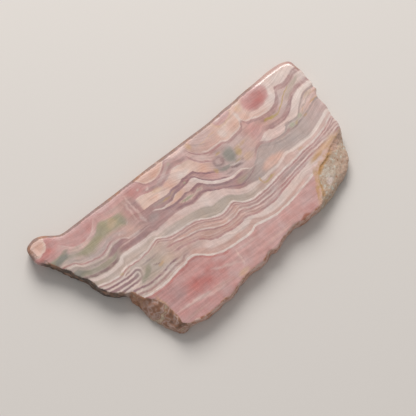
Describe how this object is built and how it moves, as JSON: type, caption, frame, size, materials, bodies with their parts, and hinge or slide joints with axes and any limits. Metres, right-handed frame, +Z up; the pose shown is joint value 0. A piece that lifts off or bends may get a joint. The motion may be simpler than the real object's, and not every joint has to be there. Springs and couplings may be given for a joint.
{
  "type": "rhodochrosite slice",
  "caption": "Thin polished slice of banded pink rhodochrosite with a corner of rough host rock, lying flat on its sawn underside.",
  "frame": {"origin": "middle of the underside's bounding box, on the surface the slice lies on", "axes": "+X along the long straight sawn edge towards the corner of host rock, +Y out of that straight edge, +Z up through the polished face"},
  "size_m": [0.085, 0.0424, 0.005],
  "materials": {
    "rhodochrosite": "polished face, sawn underside, broken and iron-stained edges"
  },
  "bodies": {
    "root": {"rhodochrosite_slice": "rhodochrosite"}
  },
  "joints": []
}
